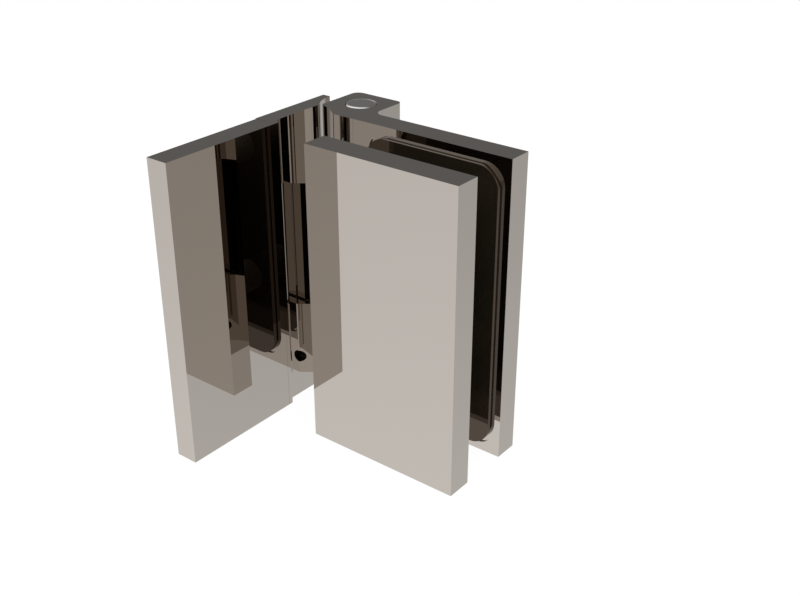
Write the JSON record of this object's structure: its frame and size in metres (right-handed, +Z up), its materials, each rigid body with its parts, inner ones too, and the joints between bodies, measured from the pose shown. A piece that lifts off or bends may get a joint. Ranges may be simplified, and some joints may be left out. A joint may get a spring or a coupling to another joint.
{
  "type": "glass-to-wall hinge",
  "caption": "Polished glass-to-wall door hinge: a covered wall plate, a pivot pin in square knuckles, and clamp plates with gaskets that grip a glass pane's edge.",
  "frame": {"origin": "centre of the hinge's outline seen from above, at its underside", "axes": "+Z up along the pin; +X out from the wall along the glass; +Y from the front clamp plate towards the knuckles"},
  "size_m": [0.0736, 0.0758, 0.0903],
  "materials": {
    "polished_nickel": "polished nickel plating on brass",
    "stainless_steel": "turned stainless steel",
    "blackened_steel": "blackened steel",
    "black_rubber": "smooth moulded rubber",
    "white_acetal": "moulded acetal"
  },
  "bodies": {
    "wall": {"wall_base": "polished_nickel", "wall_cover": "polished_nickel", "cover_screws": "blackened_steel", "upper_bush": "white_acetal", "lower_bush": "white_acetal"},
    "leaf": {"clamp_leaf": "polished_nickel", "clamp_plate": "polished_nickel", "back_gasket": "black_rubber", "front_gasket": "black_rubber", "clamp_screws": "stainless_steel", "glass_sleeves": "white_acetal", "hinge_pin": "stainless_steel", "pin_screw": "blackened_steel"}
  },
  "joints": [
    {"name": "leaf_swing", "type": "hinge", "parent": "wall", "child": "leaf", "pos_m": [-0.02252, 0.0294, 0.045], "axis": [0, 0, 1], "range_deg": [0, 90]}
  ]
}
